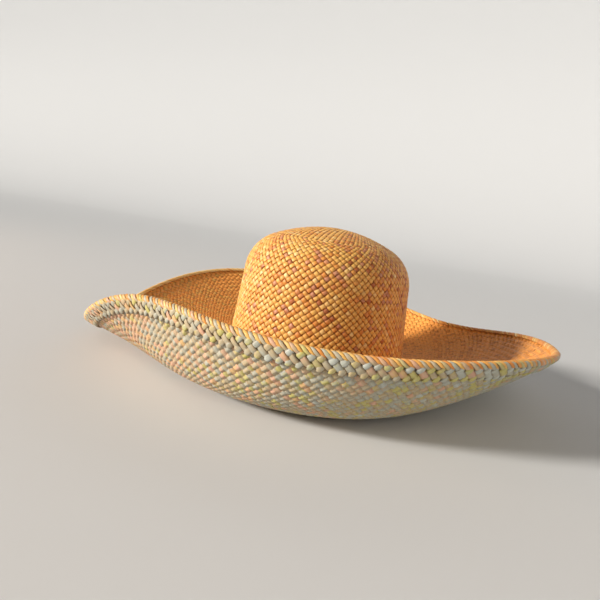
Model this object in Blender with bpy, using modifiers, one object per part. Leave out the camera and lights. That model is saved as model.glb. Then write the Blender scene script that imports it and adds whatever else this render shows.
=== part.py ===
"""Wide-brim woven straw hat: crown, brim and the plaited fold along the brim's edge.

Metres, +Z up. The hat rests on the flat ring round the crown's foot, at Z = 0. The front is at -Y, and the
origin is the middle of the hat's outline on the surface that it rests on.
"""

import math
from collections import namedtuple

import bpy
import numpy as np
from mathutils import Vector

# Driving sizes, in metres and degrees
CROWN_LENGTH = 0.196        # front to back, outside, at the foot
CROWN_WIDTH = 0.166         # side to side, outside, at the foot
CROWN_HEIGHT = 0.133        # from the resting surface to the outside of the top
WALL_LEAN = 4.5             # how far the crown's wall leans in from upright
SHOULDER_RADIUS = 0.037     # of the crown's inner side, where the wall turns into the top
DOME_SLOPE = 23.0           # slope of the top where it leaves the shoulder
FOOT_BEND = 0.006           # radius of the bend between the crown's wall and the brim, on the under side
FOOT_FLAT = 0.002           # level edge of the crown's foot, outside the bend
BRIM_REACH = 0.134          # along the straw, from the crown's wall to the lip
SEAT_WIDTH = 0.0057         # level inner edge of the brim, which the hat rests on
STRAW = 0.002               # thickness of one woven layer
FOLD_WIDTH = 0.018          # how far the strands run back under the brim
FOLD_COVER = 0.003          # how far the fold reaches over the lip's upper side
FOLD_LAYER = 0.0014         # thickness of the folded-back layer
GAP = 0.0003                # clearance between pieces that touch

# The brim's form, with a row for every 30 degrees round from the front towards +X: the brim's reach as a
# share of BRIM_REACH, and its slope in degrees at a third, two thirds and the whole of its way out.
BrimRow = namedtuple("BrimRow", "reach inner_slope middle_slope lip_slope")
BRIM_TABLE = (
    BrimRow(reach=0.93, inner_slope=16, middle_slope=60, lip_slope=80),     # front
    BrimRow(reach=0.95, inner_slope=19, middle_slope=50, lip_slope=75),
    BrimRow(reach=1.03, inner_slope=31, middle_slope=39, lip_slope=55),
    BrimRow(reach=1.04, inner_slope=27, middle_slope=36, lip_slope=48),     # +X side
    BrimRow(reach=1.06, inner_slope=18, middle_slope=31, lip_slope=44),
    BrimRow(reach=0.97, inner_slope=9, middle_slope=26, lip_slope=44),
    BrimRow(reach=1.02, inner_slope=19, middle_slope=34, lip_slope=48),     # back
    BrimRow(reach=1.01, inner_slope=28, middle_slope=39, lip_slope=48),
    BrimRow(reach=1.08, inner_slope=24, middle_slope=31, lip_slope=37),
    BrimRow(reach=0.98, inner_slope=11, middle_slope=18, lip_slope=26),     # -X side
    BrimRow(reach=0.95, inner_slope=2, middle_slope=13, lip_slope=26),
    BrimRow(reach=0.95, inner_slope=12, middle_slope=61, lip_slope=73),
)
SLOPE_STATIONS = (0.0, 1 / 3, 2 / 3, 1.0)

# Finishes: base colour and roughness
CROWN_STRAW = ((0.42, 0.19, 0.07), 0.55)
BRIM_STRAW = ((0.40, 0.17, 0.06), 0.60)
FOLD_STRAW = ((0.36, 0.27, 0.14), 0.55)

# How finely the surfaces are divided
AROUND = 72                 # steps round the hat
BEND_STEPS = 3
WALL_STEPS = 2
SHOULDER_STEPS = 4
DOME_STEPS = 3
BRIM_STEPS = 7              # from the seat to where the fold begins
FOLD_STEPS = 3              # along the fold
LIP_STEPS = 4               # round the lip
SECTION_SAMPLES = 120       # of the brim's section, where its slope is summed up
FRAME_TURN = math.radians(0.5)      # how far apart the points are that give the brim's directions
FRAME_STEP = 0.0005
SHARP_ANGLE = math.radians(50)      # edges sharper than this are shaded as corners

ANGLES = [2 * math.pi * step / AROUND for step in range(AROUND)]


def clear_scene():
    """Remove whatever the scene holds."""
    for item in list(bpy.data.objects):
        bpy.data.objects.remove(item, do_unlink=True)


def straw_material(name, finish):
    """A plain straw finish."""
    colour, roughness = finish
    material = bpy.data.materials.new(name)
    material.use_nodes = True
    shader = material.node_tree.nodes["Principled BSDF"]
    shader.inputs["Base Color"].default_value = (*colour, 1.0)
    shader.inputs["Roughness"].default_value = roughness
    shader.inputs["Metallic"].default_value = 0.0
    return material


def oval_radius(angle, inset=0.0):
    """Distance from the crown's axis to the foot's oval, drawn in by inset."""
    half_width = CROWN_WIDTH / 2 - inset
    half_length = CROWN_LENGTH / 2 - inset
    return half_width * half_length / math.hypot(half_width * math.cos(angle), half_length * math.sin(angle))


def place(angle, radius, height):
    """The point at this direction from the front, distance from the axis and height."""
    return Vector((radius * math.sin(angle), -radius * math.cos(angle), height))


def closed_spline(column):
    """A smooth closed curve through one column of the brim's table, as a function of the angle."""
    values = np.array([getattr(row, column) for row in BRIM_TABLE], dtype=float)
    count = len(values)
    ahead, behind = np.roll(values, -1), np.roll(values, 1)
    system = 4 * np.eye(count) + np.roll(np.eye(count), 1, axis=0) + np.roll(np.eye(count), -1, axis=0)
    bends = np.linalg.solve(system, 6 * (ahead - 2 * values + behind))

    def value(angle):
        place_in_table = angle / (2 * math.pi) * count
        row = math.floor(place_in_table)
        after = place_in_table - row
        before = 1 - after
        this, following = row % count, (row + 1) % count
        bent = (bends[this] * before**3 + bends[following] * after**3) / 6
        straight = (values[this] - bends[this] / 6) * before
        straight += (values[following] - bends[following] / 6) * after
        return bent + straight

    return value


REACH_AT = closed_spline("reach")
SLOPES_AT = [closed_spline(column) for column in ("inner_slope", "middle_slope", "lip_slope")]


def brim_reach(angle):
    """Length of the brim along the straw in this direction."""
    return BRIM_REACH * REACH_AT(angle)


def brim_start():
    """Where the brim begins, just clear of the end of the crown's foot."""
    return FOOT_BEND - STRAW + FOOT_FLAT + GAP


def seat_end():
    """Where the brim's level seat ends and its slope begins."""
    return brim_start() + SEAT_WIDTH


def brim_section(angle, distances):
    """Points of the brim's under side in this direction, at these distances from the crown's wall."""
    sloped = brim_reach(angle) - seat_end()
    slopes = [0.0] + [slope(angle) for slope in SLOPES_AT]
    middles = (np.arange(SECTION_SAMPLES) + 0.5) / SECTION_SAMPLES
    slope = np.radians(np.interp(middles, SLOPE_STATIONS, slopes))
    step = sloped / SECTION_SAMPLES
    along = np.concatenate([[0.0], seat_end() + step * np.arange(SECTION_SAMPLES + 1)])
    out = np.concatenate([[0.0, seat_end()], seat_end() + np.cumsum(np.cos(slope) * step)])
    up = np.concatenate([[0.0, 0.0], np.cumsum(np.sin(slope) * step)])
    start = oval_radius(angle)
    return [
        place(angle, start + np.interp(distance, along, out), np.interp(distance, along, up))
        for distance in distances
    ]


def brim_frame(angle, distance):
    """A point of the brim's under side, its direction outwards and its direction upwards."""
    share = distance / brim_reach(angle)
    inward, point = brim_section(angle, (distance - FRAME_STEP, distance))
    (before,) = brim_section(angle - FRAME_TURN, (share * brim_reach(angle - FRAME_TURN),))
    (after,) = brim_section(angle + FRAME_TURN, (share * brim_reach(angle + FRAME_TURN),))
    outward = (point - inward).normalized()
    upward = outward.cross((after - before).normalized()).normalized()
    return point, outward, upward


def grid_mesh(name, rings, centre=None):
    """An open surface through closed rings of points, with a middle point if one is given.

    Each square is cut along the same diagonal, so that two layers through the same rings stay parallel.
    """
    count = len(rings[0])
    points = [point for ring in rings for point in ring]
    faces = []
    for ring in range(len(rings) - 1):
        for step in range(count):
            following = (step + 1) % count
            low, high = ring * count, (ring + 1) * count
            faces.append((low + step, low + following, high + following))
            faces.append((low + step, high + following, high + step))
    if centre is not None:
        points.append(centre)
        last = (len(rings) - 1) * count
        faces += [(last + step, last + (step + 1) % count, len(points) - 1) for step in range(count)]
    mesh = bpy.data.meshes.new(name)
    mesh.from_pydata(points, [], faces)
    mesh.validate()
    return mesh


def woven_shell(name, mesh, thickness, side, material, hat, collection):
    """A woven layer of even thickness beside an open surface, where 1 is the side that its faces point to."""
    mesh.materials.append(material)
    mesh.shade_smooth()
    mesh.set_sharp_from_angle(angle=SHARP_ANGLE)
    piece = bpy.data.objects.new(name, mesh)
    collection.objects.link(piece)
    piece.parent = hat
    shell = piece.modifiers.new("woven_layer", "SOLIDIFY")
    shell.thickness = thickness
    shell.offset = side
    shell.use_even_offset = True
    return piece


def crown_rings():
    """Rings of the crown's inner side from the foot to the top, and the middle of the top."""
    lean = math.radians(WALL_LEAN)
    wall_slope = math.pi / 2 - lean
    dome_slope = math.radians(DOME_SLOPE)
    rows = []

    # The foot's bend leaves the floor level and ends along the wall.
    bend_turn = math.pi - wall_slope
    bend_centre = -(FOOT_BEND - STRAW)
    rows.append((bend_centre - FOOT_FLAT, 0.0))
    for step in range(BEND_STEPS + 1):
        turn = bend_turn * step / BEND_STEPS
        rows.append((bend_centre + FOOT_BEND * math.sin(turn), FOOT_BEND * (1 - math.cos(turn))))
    wall_inset, wall_foot = rows[-1]

    # The top's rise follows from its slope at the shoulder, and the wall takes what height is left.
    shoulder_rise = SHOULDER_RADIUS * (math.cos(dome_slope) - math.cos(wall_slope))
    shoulder_inset = SHOULDER_RADIUS * (math.sin(wall_slope) - math.sin(dome_slope))
    top_inside = CROWN_HEIGHT - STRAW
    mean_half = (CROWN_LENGTH + CROWN_WIDTH) / 4
    dome_tangent = math.tan(dome_slope / 2)
    lean_tangent = math.tan(lean)
    dome_half_at_foot = mean_half - wall_inset - shoulder_inset
    wall_rise = top_inside - shoulder_rise - wall_foot - dome_half_at_foot * dome_tangent
    wall_rise /= 1 - lean_tangent * dome_tangent
    for step in range(1, WALL_STEPS + 1):
        rise = wall_rise * step / WALL_STEPS
        rows.append((wall_inset + rise * lean_tangent, wall_foot + rise))
    shoulder_start_inset, shoulder_foot = rows[-1]
    for step in range(1, SHOULDER_STEPS + 1):
        slope = wall_slope + (dome_slope - wall_slope) * step / SHOULDER_STEPS
        inset = shoulder_start_inset + SHOULDER_RADIUS * (math.sin(wall_slope) - math.sin(slope))
        rows.append((inset, shoulder_foot + SHOULDER_RADIUS * (math.cos(slope) - math.cos(wall_slope))))

    rings = [[place(angle, oval_radius(angle, inset), height) for angle in ANGLES] for inset, height in rows]
    dome_inset, dome_foot = rows[-1]
    dome_rise = top_inside - dome_foot
    for step in range(1, DOME_STEPS):
        share = 1 - step / DOME_STEPS
        height = dome_foot + dome_rise * (1 - share**2)
        rings.append([place(angle, share * oval_radius(angle, dome_inset), height) for angle in ANGLES])
    return rings, Vector((0.0, 0.0, top_inside))


def brim_rings():
    """Rings of the brim's under side from the crown's foot to the lip."""
    sections = []
    for angle in ANGLES:
        reach = brim_reach(angle)
        fold_start = reach - FOLD_WIDTH
        distances = [brim_start()]
        distances += list(np.linspace(seat_end(), fold_start, BRIM_STEPS + 1))
        distances += list(np.linspace(fold_start, reach, FOLD_STEPS + 1))[1:]
        sections.append(brim_section(angle, distances))
    return [list(ring) for ring in zip(*sections)]


def fold_section(angle):
    """The fold's inner side in one direction, from its end under the brim round the lip to its upper edge."""
    reach = brim_reach(angle)
    section = []
    for distance in np.linspace(reach - FOLD_WIDTH, reach, FOLD_STEPS + 1)[:-1]:
        point, outward, upward = brim_frame(angle, distance)
        section.append(point - upward * GAP)
    lip, outward, upward = brim_frame(angle, reach)
    middle = lip + upward * STRAW / 2
    for step in range(LIP_STEPS + 1):
        turn = math.pi * step / LIP_STEPS
        section.append(middle + (outward * math.sin(turn) - upward * math.cos(turn)) * (STRAW / 2 + GAP))
    point, outward, upward = brim_frame(angle, reach - FOLD_COVER)
    section.append(point + upward * (STRAW + GAP))
    return section


def fold_rings():
    """Rings of the fold's inner side."""
    return [list(ring) for ring in zip(*[fold_section(angle) for angle in ANGLES])]


def centre_outline(hat, pieces):
    """Move the hat so that the middle of its outline is at the origin."""
    bpy.context.view_layer.update()
    depsgraph = bpy.context.evaluated_depsgraph_get()
    corners = []
    for piece in pieces:
        box = piece.evaluated_get(depsgraph).bound_box
        corners += [piece.matrix_world @ Vector(corner) for corner in box]
    for axis in (0, 1):
        values = [corner[axis] for corner in corners]
        hat.location[axis] = -(min(values) + max(values)) / 2
    bpy.context.view_layer.update()


def build_hat():
    """Build the three pieces and set the hat on its origin."""
    clear_scene()
    collection = bpy.data.collections.new("straw_hat")
    bpy.context.scene.collection.children.link(collection)
    hat = bpy.data.objects.new("straw_hat_origin", None)
    collection.objects.link(hat)

    rings, top = crown_rings()
    crown_straw = straw_material("crown_straw", CROWN_STRAW)
    crown = woven_shell("crown", grid_mesh("crown", rings, top), STRAW, 1.0, crown_straw, hat, collection)

    brim_straw = straw_material("brim_straw", BRIM_STRAW)
    brim = woven_shell("brim", grid_mesh("brim", brim_rings()), STRAW, -1.0, brim_straw, hat, collection)

    fold_straw = straw_material("fold_straw", FOLD_STRAW)
    fold_mesh = grid_mesh("edge_fold", fold_rings())
    fold = woven_shell("edge_fold", fold_mesh, FOLD_LAYER, 1.0, fold_straw, hat, collection)

    centre_outline(hat, (crown, brim, fold))


build_hat()
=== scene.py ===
"""The woven look of a wide-brim straw hat, built round its CAD frame.

Metres, +Z up, front at -Y. The crown is one plait that starts square in the middle of the top. The brim is
a plait of twice as many ribbons. The border's ribbons turn over the lip and run back under the brim.
"""

import math

import bpy
import numpy as np
from mathutils import Matrix, Vector


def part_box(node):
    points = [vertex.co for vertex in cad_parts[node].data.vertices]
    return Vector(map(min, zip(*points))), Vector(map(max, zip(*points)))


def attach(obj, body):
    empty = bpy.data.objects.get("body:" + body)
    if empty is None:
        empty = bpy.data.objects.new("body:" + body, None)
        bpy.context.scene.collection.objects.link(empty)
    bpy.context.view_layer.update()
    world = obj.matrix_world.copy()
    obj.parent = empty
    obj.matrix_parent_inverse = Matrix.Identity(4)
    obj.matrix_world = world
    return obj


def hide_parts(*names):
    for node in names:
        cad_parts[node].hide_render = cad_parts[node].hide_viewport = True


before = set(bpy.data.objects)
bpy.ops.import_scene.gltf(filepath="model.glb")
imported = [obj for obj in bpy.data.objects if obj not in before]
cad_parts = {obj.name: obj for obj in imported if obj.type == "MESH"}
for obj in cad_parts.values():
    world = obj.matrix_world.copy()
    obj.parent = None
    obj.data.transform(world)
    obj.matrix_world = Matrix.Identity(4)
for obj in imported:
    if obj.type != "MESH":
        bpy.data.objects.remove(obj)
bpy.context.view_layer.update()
CROWN_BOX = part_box("crown")

bl_info = {
    "name": "Straw hat plait",
    "version": (1, 0, 0),
    "blender": (4, 5, 0),
    "location": "3D View > Sidebar > Straw Hat",
    "description": "Plaits the crown, brim and border of a straw hat over its solids",
    "category": "Object",
}

BODY = "root"
TURN = 2 * math.pi
QUARTER = math.pi / 2
UP = Vector((0.0, 0.0, 1.0))
TINY = 1e-12  # keeps a division from zero

# The brim's form, with a column for every 30 degrees round from the front towards +X: its own reach as a
# share of the size called brim reach, and its slope in degrees at a third, two thirds and the whole way out.
BRIM_REACHES = (0.93, 0.95, 1.03, 1.04, 1.06, 0.97, 1.02, 1.01, 1.08, 0.98, 0.95, 0.95)
INNER_SLOPES = (16, 19, 31, 27, 18, 9, 19, 28, 24, 11, 2, 12)
MIDDLE_SLOPES = (60, 50, 39, 36, 31, 26, 34, 39, 31, 18, 13, 61)
LIP_SLOPES = (80, 75, 55, 48, 44, 44, 48, 48, 37, 26, 26, 73)
SLOPE_STATIONS = (0.0, 1 / 3, 2 / 3, 1.0)

# How finely the surfaces are sampled under the ribbons
COLUMNS = 720
DIRECTIONS = np.arange(COLUMNS) * TURN / COLUMNS
SECTION_SAMPLES = 240
BRIM_SAMPLES = 160
PROFILE_SAMPLES = 60
UNDER_SAMPLES = 24  # of the border, and the next two
TURN_SAMPLES = 16
COVER_SAMPLES = 6
TOP_ARC = 0.07  # along the straw from the middle of the top, as far as its radius is looked up
STEP_ROWS = 10  # samples over which the length of a row is measured

# Cross sections of a ribbon, clockwise seen along it: shares of its half width and half thickness
FLAT_RIBBON = ((-1, 0), (-0.5, 1), (0.5, 1), (1, 0), (0.5, -1), (-0.5, -1))
LEAF_RIBBON = ((-1, 0), (0, 0.4), (1, 0), (0, -1))

# Where a ribbon is held level over or under each crossing, in steps from the crossing, and how high there
HOLDS = ((-0.28, 0.86), (0.28, 1.0))

# The border's wraps, which turn over the lip: row out from the border's inner end, height as a share of the
# border's relief, and width as a share of the space there is
WRAP_COURSE = (
    (-0.15, -0.9, 0.9), (0.40, -0.7, 0.94), (0.72, 0.0, 1.00), (0.95, 0.7, 1.06), (1.35, 0.9, 1.10),
    (1.70, 0.7, 1.06), (1.95, 0.1, 1.00), (2.15, -0.5, 0.94), (2.58, -0.5, 0.88), (2.80, 0.2, 0.78),
    (3.00, 0.8, 0.70), (3.35, 0.9, 0.62), (3.70, 0.7, 0.60), (4.05, 0.6, 0.58), (4.40, 0.6, 0.56),
    (4.80, 0.5, 0.56), (5.20, 0.2, 0.56), (5.50, -0.2, 0.56),
)
# The golden leaves between the wraps on the lip: row, height and width
LEAF_COURSE = (
    (2.72, -0.6, 0.40), (2.95, 0.2, 0.50), (3.30, 0.5, 0.56), (3.70, 0.7, 0.60), (4.05, 0.8, 0.62),
    (4.40, 0.8, 0.62), (4.80, 0.7, 0.62), (5.20, 0.3, 0.62), (5.45, -0.3, 0.62),
)
# The knuckles that hold the wraps down: row beside the knuckle's middle, height and width
KNUCKLE_COURSE = (
    (-0.60, -1.2, 0.80), (-0.44, 0.1, 0.94), (-0.24, 0.9, 1.02), (0.0, 1.2, 1.05), (0.24, 0.9, 1.02),
    (0.44, 0.1, 0.94), (0.60, -1.2, 0.80),
)
# For each row of knuckles: its row, its usual tone and the spread of its tones
KNUCKLE_ROWS = ((2.36, 0.72, 0.13), (0.35, 0.62, 0.08))
WRAP_TONE = 0.42
WRAP_TONE_SPREAD = 0.20
LEAF_TONE = 0.28
LEAF_TONE_SPREAD = 0.16
# How far a wrap has run round the hat: row and run in half pitches
WRAP_RUN = ((-1.0, -1.0), (2.7, 2.7), (3.7, 4.2), (5.0, 6.2), (6.0, 7.7))
WRAP_LEAN = math.radians(9)  # tilt that tucks one edge of a wrap under the next one
LEAF_SHIFT = 1.0  # half pitches from a wrap to the leaf beside it
BORDER_JITTER = 0.05  # uneven spacing, as a share of the pitch
BORDER_UNEVENNESS = 0.08  # spread of the widths, as a share
TINT_START = 0.5  # rows past the under side where the upper colour begins
TINT_ROWS = 0.3  # rows in which it takes over
LEVEL_START = 2.9  # row where a ribbon's section begins to turn along the lip
LEVEL_ROWS = 0.6  # rows in which it turns

# The ribbons
FLAT_MAP = "OFBake"
MAP_FILL = 0.94  # share of a ribbon's strip on the flat map that its sides take
CRISP_ANGLE = math.radians(60)  # edges that turn more than this are sharp on a crisp ribbon
EDGE_SHADE = 0.75  # painted shade: how dark a ribbon's thin edges are painted, beside a crevice
ROUNDING = 1.3  # how soon the square start turns into rings
START_SPREAD = 1.15  # size of the square start beside rings of the same number
STEEPEST = 0.23  # most relief, as a share of a ribbon's width
RING_RIBBONS = 4  # each way, in the square start
MIDDLE_TONE = 0.5
RIBBON_SPREAD = 0.14  # spread of the tones from ribbon to ribbon
TONE_SPREAD = 0.11  # spread of the tones along a ribbon
ODD_SHARE = 0.09  # share of crossings with a tone unlike their ribbon's
BRIM_SEED = 10  # added to the seed, as is the next
BORDER_SEED = 20

# The straw's ramps: tone, and the name of the colour there
CROWN_RAMP = (
    (0.0, "rust"), (0.12, "mauve"), (0.26, "orange"), (0.44, "golden"), (0.66, "golden"), (0.80, "cream"),
    (0.87, "golden"), (0.94, "orange"), (1.0, "mauve"),
)
# Painted light: the brim's upper ramp runs brighter than the crown's, through an amber painted as brightly
# lit straw.
BRIM_RAMP = ((0.0, "orange"), (0.30, "lit_amber"), (0.70, "lit_amber"), (1.0, "golden"))
LIP_RAMP = ((0.0, "orange"), (0.35, "golden"), (0.70, "cream"), (1.0, "golden"))
# Painted light: the under side's ramp is the straw as in cool shade, greyer than the upper sides' ramps,
# which are painted as in warm light; the tones along it vary as the straw does.
SHADED_UNDER_RAMP = (
    (0.0, "shaded_under_gold"), (0.10, "shaded_under_pink"), (0.20, "shaded_under_gold"), (0.28, "shaded_under_pink"),
    (0.40, "shaded_under_tan"), (0.52, "shaded_under_grey"), (0.66, "shaded_under_tan"), (0.76, "shaded_under_green"),
    (0.86, "shaded_under_grey"), (1.0, "shaded_under_blue"),
)

# The straw's materials. Scales are across a ribbon, along it and from ribbon to ribbon.
FIBRE_SCALE = (5200.0, 160.0, 7.0)
FIBRE_DETAIL = 3.0
BLOTCH_SCALE = (300.0, 140.0, 3.0)
PATCH_SCALE = 14.0
COARSE_DETAIL = 2.0
NOISE_MEAN = 0.5
PATCH_TONE = 0.4  # how much patches of the hat change the tone
BLOTCH_TONE = 0.3  # how much blotches along a ribbon change it
# Painted light: the next number shifts the tones across the hat, paler and warmer on the key light's side at
# -X.
PAINTED_LIGHT_DRIFT = 1.1  # fall of the upper tone, and rise of the under tone, for each metre towards +X
EDGE_SIDE = 0.5  # what marks a ribbon's thin edge, where an upper side has 1
EDGE_CONTRAST = 16.0  # how sharply the two sides' colours meet there
EDGE_UPPER = 0.9  # share of the upper colour at the edge
STREAK_STOPS = ((0.3, (0.78, 0.72, 0.66, 1.0)), (0.7, (1.0, 1.0, 1.0, 1.0)))
STREAK_SHARE = 0.8
ROUGHNESS_SPREAD = 0.25
FIBRE_BUMP = 0.35
FIBRE_HEIGHT = 0.00012
BLOTCH_HEIGHT = 0.5  # beside the fibres' height
SHEEN = 0.4
BRIM_BULGE = 330.0  # rounding of the brim's ribbons on the under side
MIX_SHARE = 0  # numbers of the sockets of a colour Mix node
MIX_FIRST = 6
MIX_SECOND = 7
MIX_RESULT = 2

# The stage
PICTURE_WIDTH = 600  # pixels, of the picture that the camera matches
FOCAL_PIXELS = 450
SENSOR_WIDTH = 36.0
FOOT_IN_PICTURE = (313.72, 362.11)  # pixel where the middle of the crown's foot lies
NEAREST = 0.01  # from the camera
KEY_COLOUR = (1.0, 0.95, 0.88)
SKY_COLOUR = (0.97, 0.98, 1.0)
LIGHT_TARGET = (0.0, 0.0, 0.06)
FILL_LIGHT = {"size": 0.8, "colour": (1.0, 0.82, 0.64), "position": (0.45, -1.2, 0.85)}
LOW_LIGHT = {"size": 0.5, "colour": (1.0, 0.72, 0.50), "position": (-1.4, -0.65, 0.3)}
FLOOR_MIDDLE = 0.5  # reach of the flat face in the middle of the floor
FLOOR_RADIUS = 7.0  # to the backdrop, front and back
FLOOR_STRETCH = 2.2  # how much further it is to the sides
FLOOR_SIDES = 96
FLOOR_ROUGHNESS = 0.9
BACKDROP_BEND = 3.5
BACKDROP_TOP = 9.0
BACKDROP_STEPS = 12


def number(name, description, default, **kind):
    """A number that the user can change, and the unit or subtype that it has."""
    return bpy.props.FloatProperty(name=name, description=description, default=default, **kind)


def length(name, description, default):
    """A length that the user can change."""
    return number(name, description, default, unit="LENGTH")


def angle_size(name, description, degrees):
    """An angle that the user can change, given in degrees."""
    return number(name, description, math.radians(degrees), subtype="ANGLE")


def whole(name, description, default):
    """A whole number that the user can change."""
    return bpy.props.IntProperty(name=name, description=description, default=default)


def tint(name, description, value):
    """A colour that the user can change."""
    return bpy.props.FloatVectorProperty(
        name=name, description=description, subtype="COLOR", size=3, min=0.0, max=1.0, default=value)


class HatSizes(bpy.types.PropertyGroup):
    """Sizes of the straw walls: the solids' own, but for the foot's lap and a narrower, thinner border."""

    crown_length: length("Crown length", "Front to back, outside, at the foot", 0.196)
    crown_width: length("Crown width", "Side to side, outside, at the foot", 0.166)
    crown_height: length("Crown height", "From the surface to the top", CROWN_BOX[1].z)
    wall_lean: angle_size("Wall lean", "How far the wall leans in from upright", 4.5)
    shoulder_radius: length("Shoulder radius", "Of the turn from wall to top, inside", 0.037)
    dome_slope: angle_size("Dome slope", "Slope of the top at the shoulder", 23)
    foot_bend: length("Foot bend", "Radius between wall and brim", 0.006)
    foot_flat: length("Foot flat", "Level edge of the crown's foot", 0.002)
    foot_lap: length("Foot lap", "How far the brim's ribbons reach in under the crown's", 0.0015)
    brim_reach: length("Brim reach", "Along the straw, from wall to lip", 0.134)
    seat_width: length("Seat width", "Level inner edge of the brim", 0.0057)
    straw: length("Straw", "Thickness of one plaited layer", 0.002)
    fold_width: length("Border width", "How far the ribbons run back under the brim", 0.0109)
    fold_cover: length("Border cover", "Reach over the lip's upper side", 0.003)
    fold_layer: length("Border layer", "Thickness of the border", 0.0008)
    gap: length("Gap", "Clearance between layers", 0.0003)


class HatPlait(bpy.types.PropertyGroup):
    """How the straw ribbons are plaited."""

    crown_strands: whole("Crown ribbons", "Ribbons each way round the crown, a multiple of 4", 96)
    brim_strands: whole("Brim ribbons", "Ribbons each way round the brim", 192)
    start_radius: length("Start radius", "Mean radius of the square start on the top", 0.060)
    crown_cover: number("Crown cover", "Ribbon width as a share of the space it has", 1.08)
    brim_cover: number("Brim cover", "Ribbon width as a share of the space it has", 1.18)
    crown_relief: length("Crown relief", "Height of a ribbon over the middle of the crown's layer", 0.00078)
    upper_relief: length("Upper relief", "Height of a ribbon over the middle of the brim's layer", 0.00016)
    under_relief: length("Under relief", "Depth of a ribbon under the middle of the brim's layer", 0.00066)
    thickness: length("Half thickness", "Half the thickness of a ribbon", 0.0006)
    border_relief: length("Border relief", "Height of the border's ribbons", 0.00042)
    unevenness: number("Unevenness", "Spread of the ribbons' widths, as a share", 0.05)
    twist: angle_size("Twist", "Spread of the tilt from crossing to crossing", 4)
    seed: whole("Seed", "Start of the random draws", 7)


class HatColours(bpy.types.PropertyGroup):
    """Colours of the straw."""

    rust: tint("Rust", "Darkest straw", (0.46, 0.14, 0.035))
    orange: tint("Orange", "Common straw in warm light", (0.74, 0.29, 0.06))
    golden: tint("Golden", "Yellow straw", (0.86, 0.50, 0.13))
    # Painted light: a brighter orange that paints the brim's upper side as brightly lit straw.
    lit_amber: tint("Amber", "Bright orange straw of the brim", (1.0, 0.44, 0.10))
    cream: tint("Cream", "Palest straw", (0.92, 0.70, 0.33))
    mauve: tint("Mauve", "Straw with a pink cast", (0.60, 0.29, 0.17))
    # Painted shade: the under side's colours are the same straw as in cool shade, greyer and cooler than the
    # upper sides'.
    shaded_under_gold: tint("Under gold", "Yellow straw of the under side", (0.70, 0.48, 0.21))
    shaded_under_pink: tint("Under pink", "Rosy straw of the under side", (0.70, 0.42, 0.30))
    shaded_under_tan: tint("Under tan", "Common straw of the under side", (0.54, 0.44, 0.27))
    shaded_under_grey: tint("Under grey", "Greyed straw of the under side", (0.46, 0.48, 0.41))
    shaded_under_blue: tint("Under blue", "Palest straw of the under side", (0.55, 0.59, 0.54))
    shaded_under_green: tint("Under green", "Yellow-green straw of the under side", (0.58, 0.54, 0.17))
    # Painted shade: the colour that the dips under other ribbons and the thin edges are darkened towards.
    crevice_shade: tint("Crevice", "Tint where a ribbon dips under another", (0.36, 0.15, 0.08))


class HatStage(bpy.types.PropertyGroup):
    """Floor, lights and camera."""

    floor: tint("Floor", "Colour of the floor and backdrop", (0.66, 0.67, 0.68))
    key_strength: number("Key", "Strength of the main light", 4.5)
    key_height: angle_size("Key height", "Main light above the surface", 20)
    key_heading: angle_size("Key heading", "Main light round from the hat's front", -53)
    key_spread: angle_size("Key spread", "Angle that the main light fills", 9)
    fill_power: number("Fill", "Warm front light", 3.8, unit="POWER")
    low_power: number("Low light", "Low side light", 7.0, unit="POWER")
    sky: number("Sky", "Strength of the even light", 0.08)
    distance: length("Distance", "Camera to the crown's foot", 0.45239)
    elevation: angle_size("Elevation", "Camera above the surface", 16.16)
    heading: angle_size("Heading", "Camera round from the hat's front", 15.24)
    roll: angle_size("Roll", "Tilt of the picture", 9.68)


def hat_axis():
    """The point on the resting surface under the middle of the crown."""
    middle = (CROWN_BOX[0] + CROWN_BOX[1]) / 2
    return np.array((middle.x, middle.y, 0.0))


# Form of the straw layers

def oval_radius(sizes, angle, inset):
    """Distance from the crown's axis to the foot's oval, drawn in by inset."""
    half_width = sizes.crown_width / 2 - inset
    half_length = sizes.crown_length / 2 - inset
    return half_width * half_length / np.hypot(half_width * np.cos(angle), half_length * np.sin(angle))


def place(angle, radius, height):
    """Points at these directions from the front, distances from the axis and heights."""
    angle, radius, height = np.broadcast_arrays(angle, radius, height)
    return np.stack([radius * np.sin(angle), -radius * np.cos(angle), height], axis=-1)


def closed_spline(values, angle):
    """A smooth closed curve through evenly spaced values, read at these angles."""
    values = np.array(values, dtype=float)
    count = len(values)
    ahead, behind = np.roll(values, -1), np.roll(values, 1)
    system = 4 * np.eye(count) + np.roll(np.eye(count), 1, axis=0) + np.roll(np.eye(count), -1, axis=0)
    bends = np.linalg.solve(system, 6 * (ahead - 2 * values + behind))
    position = angle / TURN * count
    row = np.floor(position).astype(int)
    after = position - row
    before = 1 - after
    this, following = row % count, (row + 1) % count
    bent = (bends[this] * before**3 + bends[following] * after**3) / 6
    straight = (values[this] - bends[this] / 6) * before + (values[following] - bends[following] / 6) * after
    return bent + straight


def brim_start(sizes):
    """Where the brim begins, just clear of the end of the crown's foot."""
    return sizes.foot_bend - sizes.straw + sizes.foot_flat + sizes.gap


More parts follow.
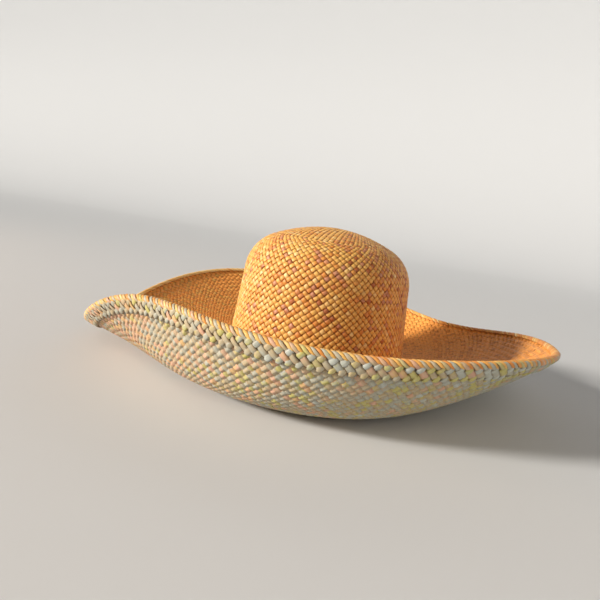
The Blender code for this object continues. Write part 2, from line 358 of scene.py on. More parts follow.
def brim_section(sizes):
    """The under side's section in each direction: reach, distance along the straw, way out and height."""
    seat_end = brim_start(sizes) + sizes.seat_width
    reach = sizes.brim_reach * closed_spline(BRIM_REACHES, DIRECTIONS)
    slopes = [np.zeros(COLUMNS)]
    slopes += [closed_spline(column, DIRECTIONS) for column in (INNER_SLOPES, MIDDLE_SLOPES, LIP_SLOPES)]
    middles = (np.arange(SECTION_SAMPLES) + 0.5) / SECTION_SAMPLES
    shares = np.stack([np.interp(middles, SLOPE_STATIONS, row) for row in np.eye(len(SLOPE_STATIONS))])
    slope = np.radians(shares.T @ np.stack(slopes))
    step = (reach - seat_end) / SECTION_SAMPLES
    start = np.zeros((1, COLUMNS))
    seat = np.full((1, COLUMNS), seat_end)
    along = np.concatenate([start, seat, seat_end + step * np.arange(1, SECTION_SAMPLES + 1)[:, None]])
    out = np.concatenate([start, seat, seat_end + np.cumsum(np.cos(slope) * step, axis=0)])
    up = np.concatenate([start, start, np.cumsum(np.sin(slope) * step, axis=0)])
    return reach, along, out, up


def crown_profile(sizes):
    """The crown's inner side from its foot to the middle of the top: share of the oval, inset and height."""
    wall_slope = QUARTER - sizes.wall_lean
    lean_tangent = math.tan(sizes.wall_lean)
    bend_centre = -(sizes.foot_bend - sizes.straw)
    turn = np.linspace(0, math.pi - wall_slope, PROFILE_SAMPLES)
    insets = [np.linspace(bend_centre - sizes.foot_flat, bend_centre, PROFILE_SAMPLES, endpoint=False)]
    heights = [np.zeros(PROFILE_SAMPLES)]
    insets.append(bend_centre + sizes.foot_bend * np.sin(turn))
    heights.append(sizes.foot_bend * (1 - np.cos(turn)))

    # The top's rise follows from its slope at the shoulder, and the wall takes what height is left.
    wall_inset, wall_foot = insets[-1][-1], heights[-1][-1]
    top_inside = sizes.crown_height - sizes.straw
    shoulder_rise = sizes.shoulder_radius * (math.cos(sizes.dome_slope) - math.cos(wall_slope))
    shoulder_inset = sizes.shoulder_radius * (math.sin(wall_slope) - math.sin(sizes.dome_slope))
    mean_half = (sizes.crown_length + sizes.crown_width) / 4
    dome_tangent = math.tan(sizes.dome_slope / 2)
    dome_reach = mean_half - wall_inset - shoulder_inset
    wall_rise = top_inside - shoulder_rise - wall_foot - dome_reach * dome_tangent
    wall_rise /= 1 - lean_tangent * dome_tangent
    rise = np.linspace(0, wall_rise, PROFILE_SAMPLES)[1:]
    insets.append(wall_inset + rise * lean_tangent)
    heights.append(wall_foot + rise)
    slope = np.linspace(wall_slope, sizes.dome_slope, PROFILE_SAMPLES)[1:]
    insets.append(insets[-1][-1] + sizes.shoulder_radius * (math.sin(wall_slope) - np.sin(slope)))
    heights.append(heights[-1][-1] + sizes.shoulder_radius * (np.cos(slope) - math.cos(wall_slope)))
    dome_inset, dome_foot = insets[-1][-1], heights[-1][-1]
    shares = np.ones(sum(len(part) for part in insets))
    dome_share = np.linspace(1, 0, PROFILE_SAMPLES)[1:]
    insets.append(np.full(len(dome_share), dome_inset))
    heights.append(dome_foot + (top_inside - dome_foot) * (1 - dome_share**2))
    return np.concatenate([shares, dome_share]), np.concatenate(insets), np.concatenate(heights)


class Surface:
    """A smooth layer round the hat's axis, with rows along the straw and columns round the hat."""

    def __init__(self, points, rows, side, height):
        """side is 1 where rows that run out have the layer's outer side above them, and -1 where it is below.

        height is how far over these points the layer's middle lies.
        """
        self.rows = rows
        before, after = np.roll(points, 1, axis=1), np.roll(points, -1, axis=1)
        upward = side * np.cross(np.gradient(points, axis=0), after - before)
        size = np.linalg.norm(upward, axis=-1, keepdims=True)
        upward = np.where(size > TINY, upward / np.maximum(size, TINY), tuple(UP))
        self.grid = np.concatenate([points + upward * height, upward], axis=-1)

    def at(self, angle, row):
        """The points of the layer's middle, and its outward directions, at these angles and rows."""
        columns = self.grid.shape[1]
        across = angle / TURN * columns
        left = np.floor(across).astype(int)
        share = (across - left)[:, None]
        down = np.interp(row, self.rows, np.arange(len(self.rows)))
        top = np.minimum(np.floor(down).astype(int), len(self.rows) - 2)
        part = (down - top)[:, None]
        left, right = left % columns, (left + 1) % columns
        upper = self.grid[top, left] * (1 - share) + self.grid[top, right] * share
        lower = self.grid[top + 1, left] * (1 - share) + self.grid[top + 1, right] * share
        found = upper * (1 - part) + lower * part
        return found[:, :3], unit(found[:, 3:])


def unit(vectors):
    """These vectors at length 1."""
    return vectors / np.maximum(np.linalg.norm(vectors, axis=-1, keepdims=True), TINY)


def room_beside(centre, beside):
    """Distance from a ribbon's middle line to its neighbour's, square to the ribbon."""
    forward = unit(np.gradient(centre, axis=0))
    apart = beside - centre
    return np.linalg.norm(apart - forward * (apart * forward).sum(axis=-1, keepdims=True), axis=-1)


def conformal_rows(radius, step, strands):
    """Rows at which ribbons at 45 degrees cross, for these mean radii and steps along the straw."""
    middle = (radius[1:] + radius[:-1]) / 2
    return np.concatenate([[0.0], np.cumsum(step / np.maximum(middle, TINY))]) * strands / math.pi


def crown_surface(sizes, plait):
    """The crown's layer, whose rows are the rings of the plait out from the middle of the top."""
    share, inset, height = (values[::-1] for values in crown_profile(sizes))
    mean_radius = share * ((sizes.crown_length + sizes.crown_width) / 4 - inset)
    step = np.hypot(np.diff(mean_radius), np.diff(height))
    arc = np.concatenate([[0.0], np.cumsum(step)])
    start_rings = plait.crown_strands / RING_RIBBONS
    start_arc = np.interp(plait.start_radius, mean_radius[arc < TOP_ARC], arc[arc < TOP_ARC])
    rings = conformal_rows(mean_radius, step, plait.crown_strands)
    beyond = rings - np.interp(start_arc, arc, rings)
    beyond *= round(beyond[-1]) / beyond[-1]
    rows = np.where(arc <= start_arc, start_rings * arc / start_arc, start_rings + beyond)
    radius = share[:, None] * oval_radius(sizes, DIRECTIONS, inset[:, None])
    points = place(DIRECTIONS, radius, height[:, None])
    return Surface(points + hat_axis(), rows, 1.0, sizes.straw / 2)


def brim_surface(sizes, plait):
    """The brim's layer, whose rows are the rings of the plait out from the crown's foot."""
    reach, along, out, up = brim_section(sizes)
    start = brim_start(sizes) - sizes.foot_lap
    shares = np.linspace(0, 1, BRIM_SAMPLES)
    ways, heights = [], []
    for column in range(COLUMNS):
        distance = start + shares * (reach[column] - start)
        ways.append(np.interp(distance, along[:, column], out[:, column]))
        heights.append(np.interp(distance, along[:, column], up[:, column]))
    radius = oval_radius(sizes, DIRECTIONS, 0.0) + np.stack(ways, axis=1)
    points = place(DIRECTIONS, radius, np.stack(heights, axis=1))
    step = np.diff(shares) * (reach.mean() - start)
    rows = conformal_rows(radius.mean(axis=1), step, plait.brim_strands)
    return Surface(points + hat_axis(), rows, 1.0, sizes.straw / 2)


def fold_surface(sizes, plait, brim):
    """The border's layer, from its inner end under the brim, round the lip and onto the upper side."""
    reach = brim_section(sizes)[0]
    start = brim_start(sizes) - sizes.foot_lap
    clear = sizes.straw / 2 + sizes.gap

    def inside_lip(distance, height=0.0):
        """Points this far in from the lip and this high over the brim's layer, and outward directions."""
        share = (reach - distance - start) / (reach - start)
        row = np.interp(share, np.linspace(0, 1, BRIM_SAMPLES), brim.rows)
        middle, upward = brim.at(DIRECTIONS, row)
        return middle + upward * height, upward

    under = np.linspace(sizes.fold_width, 0, UNDER_SAMPLES + 1)[:-1]
    points = [inside_lip(distance, -clear)[0] for distance in under]
    lip, upward = inside_lip(0.0)
    outward = unit(lip - inside_lip(sizes.gap)[0])
    for turn in np.linspace(0, math.pi, TURN_SAMPLES + 1):
        points.append(lip + (outward * math.sin(turn) - upward * math.cos(turn)) * clear)
    cover = np.linspace(0, sizes.fold_cover, COVER_SAMPLES + 1)[1:]
    points = np.stack(points + [inside_lip(distance, clear)[0] for distance in cover])
    step = np.linalg.norm(np.diff(points, axis=0), axis=-1).mean(axis=1)
    lip_radius = np.linalg.norm((lip - hat_axis())[:, :2], axis=-1).mean()
    rows = conformal_rows(np.full(len(points), lip_radius), step, plait.brim_strands)
    return Surface(points, rows, -1.0, sizes.fold_layer / 2)


# Ribbons

class Plait:
    """Ribbons of straw that are joined into one mesh."""

    def __init__(self, section, crisp=False):
        """section is a ribbon's cross section, and crisp says whether its thin edges are sharp."""
        self.section = np.array(section, dtype=float)
        self.crisp = crisp
        self.places, self.grains, self.lengths = [], [], []
        self.values = {"straw_tone": [], "straw_side": [], "straw_depth": []}

    def add(self, centre, upward, lift, width, thickness, twist, tone, side, across=None):
        """Lay a ribbon along these points, raised by lift over the layer's middle.

        side is 1 where its outer face has the upper side's colours and 0 where it hasn't. across is the way
        that its sections lie, where they aren't square to it.
        """
        middle = centre + upward * lift[:, None]
        forward = unit(np.gradient(middle, axis=0))
        if across is None:
            across = np.cross(forward, upward)
        across = unit(across)
        up = unit(np.cross(across, forward))
        turned = across * np.cos(twist)[:, None] + up * np.sin(twist)[:, None]
        raised = up * np.cos(twist)[:, None] - across * np.sin(twist)[:, None]
        wide = self.section[:, 0][None, :, None] * (width / 2)[:, None, None]
        high = self.section[:, 1][None, :, None] * np.broadcast_to(thickness, width.shape)[:, None, None]
        self.places.append(middle[:, None] + turned[:, None] * wide + raised[:, None] * high)
        sections, corners = len(middle), len(self.section)
        self.values["straw_tone"].append(np.repeat(tone, corners))
        facing = self.section[:, 1][None, :]
        self.values["straw_side"].append((side[:, None] * (np.sign(facing) + 1) / 2).ravel())
        # Painted shade: faces that lie under other ribbons, and the thin edges, get a depth that the straw
        # darkens by.
        level = (lift / np.maximum(np.abs(lift).max(), TINY))[:, None]
        shade_depth = np.where(facing == 0, EDGE_SHADE, np.clip(-level * np.sign(facing), 0, 1))
        self.values["straw_depth"].append(shade_depth.ravel())
        along = np.concatenate([[0.0], np.cumsum(np.linalg.norm(np.diff(middle, axis=0), axis=-1))])
        grain = np.empty((sections, corners, 3))
        grain[..., 0] = wide[..., 0]
        grain[..., 1] = along[:, None]
        grain[..., 2] = len(self.places)
        self.grains.append(grain.reshape(-1, 3))
        self.lengths.append(sections)

    def faces(self):
        """The corners of each face, and their places on the plait's flat map, ribbon by ribbon."""
        corners = len(self.section)
        sides = np.arange(corners)
        after = (sides + 1) % corners
        all_faces, all_places = [], []
        count = len(self.lengths)
        start = 0
        for number, sections in enumerate(self.lengths):
            low = start + np.arange(sections - 1)[:, None] * corners
            high = low + corners
            faces = np.stack([low + sides, low + after, high + after, high + sides], axis=-1)
            all_faces.append(faces.reshape(-1, 4))
            left = np.arange(sections - 1)[:, None] / (sections - 1) + 0 * sides[None, :]
            right = left + 1 / (sections - 1)
            foot = (number + MAP_FILL * sides / corners) / count + 0 * left
            head = (number + MAP_FILL * (sides + 1) / corners) / count + 0 * left
            places = np.stack([left, foot, left, head, right, head, right, foot], axis=-1)
            all_places.append(places.reshape(-1, 4, 2))
            first, last = start, start + (sections - 1) * corners
            for corner in range(1, corners - 2, 2):
                all_faces.append(np.array([[first + corner + 2, first + corner + 1, first + corner, first],
                                           [last, last + corner, last + corner + 1, last + corner + 2]]))
                foot, head = (number + MAP_FILL) / count, (number + 1) / count
                near, far = corner / corners, (corner + 1) / corners
                end = np.array([(near, foot), (near, head), (far, head), (far, foot)])
                all_places.append(np.stack([end, end]))
            start += sections * corners
        return np.concatenate(all_faces), np.concatenate(all_places)

    def mesh(self, name):
        """One mesh of all the ribbons, with what the straw's materials read."""
        faces, flat = self.faces()
        vertices = np.concatenate([part.reshape(-1, 3) for part in self.places])
        mesh = bpy.data.meshes.new(name)
        mesh.vertices.add(len(vertices))
        mesh.vertices.foreach_set("co", vertices.astype(np.float32).ravel())
        mesh.loops.add(faces.size)
        mesh.loops.foreach_set("vertex_index", faces.astype(np.int32).ravel())
        mesh.polygons.add(len(faces))
        mesh.polygons.foreach_set("loop_start", np.arange(0, faces.size, 4, dtype=np.int32))
        mesh.update(calc_edges=True)
        mesh.shade_smooth()
        if self.crisp:
            mesh.set_sharp_from_angle(angle=CRISP_ANGLE)
        for label, parts in self.values.items():
            layer = mesh.attributes.new(label, "FLOAT", "POINT")
            layer.data.foreach_set("value", np.concatenate(parts).astype(np.float32))
        layer = mesh.attributes.new("straw_grain", "FLOAT_VECTOR", "POINT")
        layer.data.foreach_set("vector", np.concatenate(self.grains).astype(np.float32).ravel())
        layer = mesh.uv_layers.new(name=FLAT_MAP)
        layer.uv.foreach_set("vector", flat.astype(np.float32).ravel())
        return mesh


def start_path(step, line, rings):
    """Angle and ring, at this step along a ribbon of the square start, for the ribbon on this line.

    Inside the start the ribbons are straight lines that bend into rings further out. Outside it they run on
    at 45 degrees.
    """
    ring = np.abs(step) + abs(line)
    inside = np.minimum(ring, rings)
    turn = QUARTER * np.where(ring < rings, abs(line) / ring, abs(line) / rings)
    turn = turn - QUARTER / 2 / rings * (ring - inside)
    angle = np.where(step >= 0, turn, math.pi - turn) * (1.0 if line > 0 else -1.0)
    round_share = np.clip(ring / rings, 0, 1) ** ROUNDING
    x = round_share * inside * np.cos(angle) + (1 - round_share) * START_SPREAD * step
    y = round_share * inside * np.sin(angle) + (1 - round_share) * START_SPREAD * line
    within = ring < rings
    return np.where(within, np.arctan2(y, x), angle), np.where(within, np.hypot(x, y), ring)


def tones_of(random, crossings):
    """A tone from 0 to 1 for each crossing of a ribbon, which is near the ribbon's own tone."""
    tones = random.normal(MIDDLE_TONE, RIBBON_SPREAD) + random.normal(0, TONE_SPREAD, crossings)
    odd = random.random(crossings) < ODD_SHARE
    tones[odd] = random.random(odd.sum())
    return np.clip(tones, 0, 1)


def draws_of(random, plait, crossings):
    """What chance gives a ribbon at each crossing: a share of its width, a tilt and a tone."""
    own_width = 1 + random.normal(0, plait.unevenness)
    wander = 1 + random.normal(0, plait.unevenness / 2, crossings)
    twist = random.normal(0, plait.twist, crossings)
    return own_width * wander, twist, tones_of(random, crossings)


def lay_crown(plait, surface, turned):
    """The crown's ribbons that run one way in the square start."""
    rings = plait.crown_strands // RING_RIBBONS
    last = surface.rows[-1]
    random = np.random.default_rng(plait.seed + turned)
    ribbons = Plait(FLAT_RIBBON)
    for line in np.arange(-rings + 0.5, rings, 1.0):
        end = last - abs(line)
        crossings = np.arange(0.5, end + 0.5, 1.0)
        crossings = np.concatenate([-crossings[::-1], crossings])
        step = np.clip((crossings[:, None] + [hold[0] for hold in HOLDS]).ravel(), -end, end)
        over = np.where((np.floor(crossings) + math.floor(line)) % 2 == turned, 1.0, -1.0)
        shape = (over[:, None] * [hold[1] for hold in HOLDS]).ravel()

        def path(number):
            """The ribbon's middle line and its outward directions, for the ribbon on this line."""
            angle, ring = start_path(step, number, rings)
            return surface.at(QUARTER - angle if turned else angle, ring)

        centre, upward = path(line)
        beside, _ = path(line + math.copysign(1.0, line))
        space = room_beside(centre, beside)
        draws = draws_of(random, plait, len(crossings))
        wide, twist, tone = (np.repeat(values, len(HOLDS)) for values in draws)
        lift = shape * np.minimum(plait.crown_relief, space * STEEPEST)
        width = space * plait.crown_cover * wide
        ribbons.add(centre, upward, lift, width, plait.thickness, twist, tone, np.ones(len(step)))
    return ribbons


def lay_brim(plait, surface, lean):
    """The brim's ribbons that lean one way: 1 towards +X at the front as they run out, and -1 the other."""
    strands = plait.brim_strands
    pitch = TURN / strands
    random = np.random.default_rng(plait.seed + BRIM_SEED + lean)
    crossings = np.arange(0, math.floor(surface.rows[-1]) + 1)
    row = (crossings[:, None] + [hold[0] for hold in HOLDS]).ravel()
    row = np.concatenate([[0.0], row[row > 0], [surface.rows[-1]]])
    crossing = np.clip(np.round(row).astype(int), 0, crossings[-1])
    over = np.where((crossing % 2 == 0) == (lean > 0), 1.0, -1.0)
    held = np.where(row - crossing < 0, HOLDS[0][1], HOLDS[1][1])
    relief = np.where(over > 0, plait.upper_relief, plait.under_relief)
    ribbons = Plait(LEAF_RIBBON, crisp=True)
    for strand in range(strands):
        angle = strand * pitch + lean * row * pitch / 2
        centre, upward = surface.at(angle, row)
        beside, _ = surface.at(angle + pitch, row)
        space = room_beside(centre, beside)
        draws = draws_of(random, plait, len(crossings))
        wide, twist, tone = (values[crossing] for values in draws)
        lift = over * held * np.minimum(relief, space * STEEPEST)
        width = space * plait.brim_cover * wide
        ribbons.add(centre, upward, lift, width, plait.thickness, twist, tone, np.ones(len(row)))
    return ribbons


def lay_border(sizes, plait, surface):
    """The border's wraps, which turn over the lip, the leaves between them and two rows of knuckles."""
    pitch = TURN / plait.brim_strands
    random = np.random.default_rng(plait.seed + BORDER_SEED)
    ribbons = Plait(FLAT_RIBBON)
    first_rows = np.linalg.norm(surface.grid[STEP_ROWS, 0, :3] - surface.grid[0, 0, :3])
    lip_row = sizes.fold_width / (first_rows / surface.rows[STEP_ROWS])
    courses = [(WRAP_COURSE, 0.0, WRAP_LEAN, WRAP_TONE, WRAP_TONE_SPREAD)]
    courses.append((LEAF_COURSE, 0.0, 0.0, LEAF_TONE, LEAF_TONE_SPREAD))
    courses += [(KNUCKLE_COURSE, middle, 0.0, tone, spread) for middle, tone, spread in KNUCKLE_ROWS]
    for course, middle, tilt, tone, spread in courses:
        row, height, wide = np.array(course).T
        row = row + middle
        if course is KNUCKLE_COURSE:
            shift = -slanted(middle) + row - middle
        else:
            shift = -slanted(row)
        side = np.clip((row - lip_row - TINT_START) / TINT_ROWS, 0, 1)
        if course is LEAF_COURSE:
            side = np.ones(len(row))
            shift = shift + LEAF_SHIFT
        on_lip = np.clip((row - LEVEL_START) / LEVEL_ROWS, 0, 1)[:, None]
        for strand in range(plait.brim_strands):
            angle = (strand + random.normal(0, BORDER_JITTER) + shift / 2) * pitch
            centre, upward = surface.at(angle, row)
            apart = surface.at(angle + pitch, row)[0] - centre
            square = unit(np.cross(unit(np.gradient(centre, axis=0)), upward))
            level = unit(apart) * np.sign((square * apart).sum(axis=-1, keepdims=True))
            across = square * (1 - on_lip) + level * on_lip
            room = room_beside(centre, centre + apart) * (1 - on_lip[:, 0])
            room += np.linalg.norm(apart, axis=-1) * on_lip[:, 0]
            width = room * wide * (1 + random.normal(0, BORDER_UNEVENNESS))
            tones = np.full(len(row), np.clip(random.normal(tone, spread), 0, 1))
            twist = (tilt + random.normal(0, plait.twist)) * (1 - on_lip[:, 0])
            lift = height * plait.border_relief
            ribbons.add(centre, upward, lift, width, plait.thickness, twist, tones, side, across)
    return ribbons


def slanted(row):
    """How far a wrap has run round the hat at this row, in half pitches."""
    return np.interp(row, *zip(*WRAP_RUN))


# Materials

class Shade:
    """A socket of a material, so that maths on its value can be written as Python expressions."""

    def __init__(self, tree, socket=None):
        self.tree = tree
        self.socket = socket

    def node(self, kind, settings=(), sockets=(), output=0):
        """Add a node of this type with these settings and socket values or links, and return an output."""
        made = self.tree.nodes.new(kind)
        for name, value in dict(settings).items():
            if name == "stops":
                fill_ramp(made.color_ramp, value)
            else:
                setattr(made, name, value)
        for name, value in dict(sockets).items():
            if isinstance(value, Shade):
                self.tree.links.new(value.socket, made.inputs[name])
            else:
                made.inputs[name].default_value = value
        return Shade(self.tree, made.outputs[output])

    def maths(self, operation, first, second):
        """Add a Math node that works on these two values."""
        return self.node("ShaderNodeMath", {"operation": operation}, {0: first, 1: second})

    def __add__(self, other):
        return self.maths("ADD", self, other)

    def __radd__(self, other):
        return self.maths("ADD", other, self)

    def __sub__(self, other):
        return self.maths("SUBTRACT", self, other)

    def __rsub__(self, other):
        return self.maths("SUBTRACT", other, self)

    def __mul__(self, other):
        return self.maths("MULTIPLY", self, other)

    def __rmul__(self, other):
        return self.maths("MULTIPLY", other, self)

    def mix(self, blend, share, first, second):
        """Mix two colours by this blend type and share."""
        settings = {"data_type": "RGBA", "blend_type": blend, "clamp_factor": True}
        sockets = {MIX_SHARE: share, MIX_FIRST: first, MIX_SECOND: second}
        return self.node("ShaderNodeMix", settings, sockets, output=MIX_RESULT)


def fill_ramp(ramp, stops):
    """Give a colour ramp these (position, colour) stops."""
    while len(ramp.elements) > 1:
        ramp.elements.remove(ramp.elements[-1])
    ramp.elements[0].position = stops[0][0]
    ramp.elements[0].color = stops[0][1]
    for position, colour in stops[1:]:
        ramp.elements.new(position).color = colour


def opaque(colour):
    """A colour with full alpha."""
    return (*colour, 1.0)


def straw_stops(ramp):
    """The stops of a ramp, with the straw's colours in place of their names."""
    colours = bpy.context.scene.hat_colours
    return [(tone, opaque(getattr(colours, name))) for tone, name in ramp]


def new_material(name):
    """A new material and its shader."""
    material = bpy.data.materials.new(name)
    material.use_nodes = True
    return material, material.node_tree.nodes["Principled BSDF"]


def straw_material(name, upper, under, roughness, crevice_shade_share, rounding=0.0):
    """Straw with fibres along each ribbon, a tone for each ribbon and crevices darkened as painted shade.

    upper and under are the ramps of the ribbons' two sides. Their tones vary as the straw does, but on the
    brim and border the upper ramp is painted as straw in warm light and the under ramp as straw in cool
    shade. The share after roughness sets how dark the painted shade in the crevices is. rounding is how much
    the under
    sides bulge: their fall beside the middle line, over the square of the distance from it.
    """
    crevice_shade = opaque(bpy.context.scene.hat_colours.crevice_shade)
    material, shader = new_material(name)
    shade = Shade(material.node_tree)

    def attribute(label, output):
        """What each point of the ribbons carries under this label."""
        return shade.node("ShaderNodeAttribute", {"attribute_name": label}, output=output)

    def stretched(scales):
        """The place along and across a ribbon, with each axis stretched by its own scale."""
        return shade.node("ShaderNodeVectorMath", {"operation": "MULTIPLY"}, {0: grain, 1: scales})

    def noise(where, scale, detail):
        """Noise from 0 to 1 at this place."""
        return shade.node("ShaderNodeTexNoise", (), {"Vector": where, "Scale": scale, "Detail": detail})

    tone, side, shade_depth = (attribute(label, "Fac") for label in ("straw_tone", "straw_side", "straw_depth"))
    grain = attribute("straw_grain", "Vector")
    fibres = noise(stretched(FIBRE_SCALE), 1.0, FIBRE_DETAIL)
    blotches = noise(stretched(BLOTCH_SCALE), 1.0, COARSE_DETAIL)
    place_in_hat = shade.node("ShaderNodeTexCoord", output="Object")
    patches = noise(place_in_hat, PATCH_SCALE, COARSE_DETAIL)

    def ramp(stops, factor):
        """A colour from a ramp of these stops."""
        return shade.node("ShaderNodeValToRGB", {"stops": stops}, {"Fac": factor})

    mixed_tone = tone + (patches - NOISE_MEAN) * PATCH_TONE + (blotches - NOISE_MEAN) * BLOTCH_TONE
    # Painted light: the tones shift across the hat, paler and warmer towards the key light's side at -X.
    light_drift = shade.node("ShaderNodeSeparateXYZ", (), {"Vector": place_in_hat}) * PAINTED_LIGHT_DRIFT
    # Painted light: the upper and under sides take their own ramps, on the brim and border a warm-lit and a
    # cool-shaded one.
    lit_upper_colour = ramp(straw_stops(upper), mixed_tone - light_drift)
    shaded_under_colour = ramp(straw_stops(under), mixed_tone + light_drift)
    lit_upper_share = (side - EDGE_SIDE) * EDGE_CONTRAST + EDGE_UPPER
    colour = shade.mix("MIX", lit_upper_share, shaded_under_colour, lit_upper_colour)
    # Painted shade: the dips under other ribbons and the thin edges are darkened towards the crevice colour.
    colour = shade.mix("MULTIPLY", shade_depth * crevice_shade_share, colour, crevice_shade)
    colour = shade.mix("MULTIPLY", STREAK_SHARE, colour, ramp(STREAK_STOPS, fibres))
    roughened = roughness + (fibres - NOISE_MEAN) * ROUGHNESS_SPREAD
    from_middle = shade.node("ShaderNodeSeparateXYZ", (), {"Vector": grain})
    bulge = from_middle * from_middle * (side - 1.0) * rounding
    rounded = shade.node("ShaderNodeBump", (), {"Strength": 1.0, "Distance": 1.0, "Height": bulge})
    rough_height = fibres + blotches * BLOTCH_HEIGHT
    bump = shade.node("ShaderNodeBump", (), {
        "Strength": FIBRE_BUMP, "Distance": FIBRE_HEIGHT, "Height": rough_height, "Normal": rounded})
    for socket, value in (("Base Color", colour), ("Roughness", roughened), ("Normal", bump)):
        material.node_tree.links.new(value.socket, shader.inputs[socket])
    shader.inputs["Specular IOR Level"].default_value = SHEEN
    return material


# Pieces

def hat_collection():
    """The collection that holds the plaited pieces."""
    found = bpy.data.collections.get("straw_hat_plait")
    if found is None:
        found = bpy.data.collections.new("straw_hat_plait")
        bpy.context.scene.collection.children.link(found)
    return found


def add_piece(name, plait, material, node):
    """Make a piece of these ribbons, which stands for a node of the frame."""
    piece = bpy.data.objects.new(name, plait.mesh(name))
    piece.data.materials.append(material)
    hat_collection().objects.link(piece)
    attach(piece, BODY)
    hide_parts(node)
    return piece


class WeaveCrown(bpy.types.Operator):
    """Plait the crown from its square start on the top down to its foot."""

    bl_idname = "straw_hat.weave_crown"
    bl_label = "Weave crown"

    def execute(self, context):
        sizes, plait = context.scene.hat_sizes, context.scene.hat_plait
        surface = crown_surface(sizes, plait)
        material = straw_material("crown_straw", CROWN_RAMP, CROWN_RAMP, roughness=0.46, crevice_shade_share=1.0)
        for turned, name in enumerate(("crown_ribbons_across", "crown_ribbons_along")):
            add_piece(name, lay_crown(plait, surface, turned), material, "crown")
        return {"FINISHED"}


class WeaveBrim(bpy.types.Operator):
    """Plait the brim from the crown's foot to the lip."""

    bl_idname = "straw_hat.weave_brim"
    bl_label = "Weave brim"

    def execute(self, context):
        sizes, plait = context.scene.hat_sizes, context.scene.hat_plait
        surface = brim_surface(sizes, plait)
        material = straw_material(
            "brim_straw", BRIM_RAMP, SHADED_UNDER_RAMP, roughness=0.5, crevice_shade_share=0.2, rounding=BRIM_BULGE)
        for lean, name in ((1, "brim_ribbons_right"), (-1, "brim_ribbons_left")):
            add_piece(name, lay_brim(plait, surface, lean), material, "brim")
        return {"FINISHED"}


class PlaitBorder(bpy.types.Operator):
    """Turn the ribbons over the lip and plait them back under the brim."""

    bl_idname = "straw_hat.plait_border"
    bl_label = "Plait border"

    def execute(self, context):
        sizes, plait = context.scene.hat_sizes, context.scene.hat_plait
        surface = fold_surface(sizes, plait, brim_surface(sizes, plait))
        material = straw_material("fold_straw", LIP_RAMP, SHADED_UNDER_RAMP, roughness=0.48, crevice_shade_share=0.55)
        add_piece("border_ribbons", lay_border(sizes, plait, surface), material, "edge_fold")
        return {"FINISHED"}


# Stage

def direction(heading, height):
    """The direction at this angle round from the hat's front and this one above the surface."""
    level = Vector((math.sin(heading), -math.cos(heading), 0.0))
    return level * math.cos(height) + UP * math.sin(height)


def add_object(name, data):
    """Add an object with this data to the scene."""
    made = bpy.data.objects.new(name, data)
    bpy.context.scene.collection.objects.link(made)
    return made


def add_light(name, kind, power, colour, position, turn):
    """Add a light of this kind, turned so, and return its data."""
    lamp = bpy.data.lights.new(name, kind)
    lamp.energy = power
    lamp.color = colour
    light = add_object(name, lamp)
    light.location = position
    light.rotation_euler = turn.to_euler()
    return lamp


def area_light(name, power, size, colour, position):
    """A soft square light at this position that shines on the hat."""
    turn = (Vector(LIGHT_TARGET) - Vector(position)).to_track_quat("-Z", "Y")
    add_light(name, "AREA", power, colour, position, turn).size = size


def add_key(stage):
    """The main light, which is as strong all over the floor."""
    towards = direction(stage.key_heading, stage.key_height)
    turn = towards.to_track_quat("Z", "Y")
    add_light("key_light", "SUN", stage.key_strength, KEY_COLOUR, towards, turn).angle = stage.key_spread


def add_floor(colour):
    """A pale oblong floor that curves up into a backdrop all round the hat and lets the light in."""
    profile = [(FLOOR_MIDDLE, 0.0), (FLOOR_RADIUS - BACKDROP_BEND, 0.0)]
    for step in range(1, BACKDROP_STEPS + 1):
        turn = QUARTER * step / BACKDROP_STEPS
        out, up = math.sin(turn), 1 - math.cos(turn)
        profile.append((FLOOR_RADIUS - BACKDROP_BEND * (1 - out), BACKDROP_BEND * up))
    profile.append((FLOOR_RADIUS, BACKDROP_TOP))
    count = len(profile)
    points = []
    for side in range(FLOOR_SIDES):
        angle = TURN * side / FLOOR_SIDES
        x, y = math.cos(angle), math.sin(angle)
        square = max(abs(x), abs(y))
        x, y = x / square * FLOOR_STRETCH, y / square
        points += [(radius * x, radius * y, height) for radius, height in profile]
    faces = [tuple(side * count for side in range(FLOOR_SIDES))]
    for side in range(FLOOR_SIDES):
        this, following = side * count, (side + 1) % FLOOR_SIDES * count
        for row in range(count - 1):
            faces.append((this + row, this + row + 1, following + row + 1, following + row))
    mesh = bpy.data.meshes.new("studio_floor")
    mesh.from_pydata(points, [], faces)
    mesh.shade_smooth()
    floor = add_object("studio_floor", mesh)
    floor.visible_shadow = False
    material, shader = new_material("studio_floor")
    shader.inputs["Base Color"].default_value = opaque(colour)
    shader.inputs["Roughness"].default_value = FLOOR_ROUGHNESS
    mesh.materials.append(material)


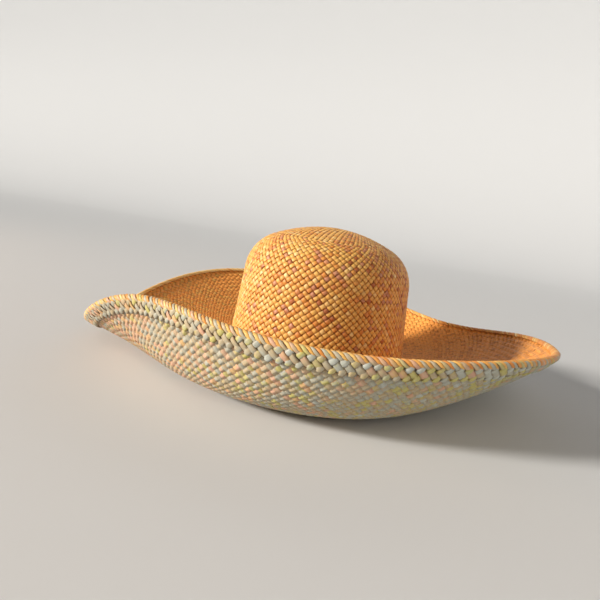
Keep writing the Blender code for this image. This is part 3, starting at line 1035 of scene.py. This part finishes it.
def add_camera(stage):
    """A camera that sees the hat as the picture does."""
    foot = Vector(hat_axis())
    back = direction(stage.heading, stage.elevation)
    right = Vector((math.cos(stage.heading), math.sin(stage.heading), 0.0))
    up = back.cross(right)
    turned_right = right * math.cos(stage.roll) + up * math.sin(stage.roll)
    turned_up = up * math.cos(stage.roll) - right * math.sin(stage.roll)
    facing = Matrix((turned_right, turned_up, -back))
    half = PICTURE_WIDTH / 2
    across, down = FOOT_IN_PICTURE
    aim = Vector(((across - half) / FOCAL_PIXELS, (half - down) / FOCAL_PIXELS, 1.0))
    facing = UP.rotation_difference(aim).to_matrix() @ facing
    lens = bpy.data.cameras.new("picture_camera")
    lens.sensor_width = SENSOR_WIDTH
    lens.lens = SENSOR_WIDTH * FOCAL_PIXELS / PICTURE_WIDTH
    lens.clip_start = NEAREST
    camera = add_object("picture_camera", lens)
    axes = Matrix((facing[0], facing[1], -facing[2])).transposed()
    camera.matrix_world = Matrix.Translation(foot + back * stage.distance) @ axes.to_4x4()
    bpy.context.scene.camera = camera


class SetStage(bpy.types.Operator):
    """Set up the pale floor, the soft lights and the camera."""

    bl_idname = "straw_hat.set_stage"
    bl_label = "Set stage"

    def execute(self, context):
        stage = context.scene.hat_stage
        add_floor(stage.floor)
        world = bpy.data.worlds.new("studio_air")
        world.use_nodes = True
        background = world.node_tree.nodes["Background"]
        background.inputs["Color"].default_value = opaque(SKY_COLOUR)
        background.inputs["Strength"].default_value = stage.sky
        context.scene.world = world
        context.scene.view_settings.view_transform = "Standard"
        add_key(stage)
        area_light("fill_light", stage.fill_power, **FILL_LIGHT)
        area_light("low_light", stage.low_power, **LOW_LIGHT)
        add_camera(stage)
        return {"FINISHED"}


class HatPanel(bpy.types.Panel):
    """The steps that dress the hat."""

    bl_idname = "VIEW3D_PT_straw_hat"
    bl_label = "Straw Hat"
    bl_space_type = "VIEW_3D"
    bl_region_type = "UI"
    bl_category = "Straw Hat"

    def draw(self, context):
        """List the steps."""
        for operator in (WeaveCrown, WeaveBrim, PlaitBorder, SetStage):
            self.layout.operator(operator.bl_idname)


CLASSES = (HatSizes, HatPlait, HatColours, HatStage, WeaveCrown, WeaveBrim, PlaitBorder, SetStage, HatPanel)
SETTINGS = {"hat_sizes": HatSizes, "hat_plait": HatPlait, "hat_colours": HatColours, "hat_stage": HatStage}


def register():
    """Register the classes and give the scene its settings."""
    for item in CLASSES:
        bpy.utils.register_class(item)
    for name, group in SETTINGS.items():
        setattr(bpy.types.Scene, name, bpy.props.PointerProperty(type=group))


def unregister():
    """Take the settings and classes away again."""
    for name in SETTINGS:
        delattr(bpy.types.Scene, name)
    for item in reversed(CLASSES):
        bpy.utils.unregister_class(item)


def main():
    """Dress the hat and set the stage."""
    register()
    bpy.ops.straw_hat.weave_crown()
    bpy.ops.straw_hat.weave_brim()
    bpy.ops.straw_hat.plait_border()
    bpy.ops.straw_hat.set_stage()


if __name__ == "__main__":
    main()
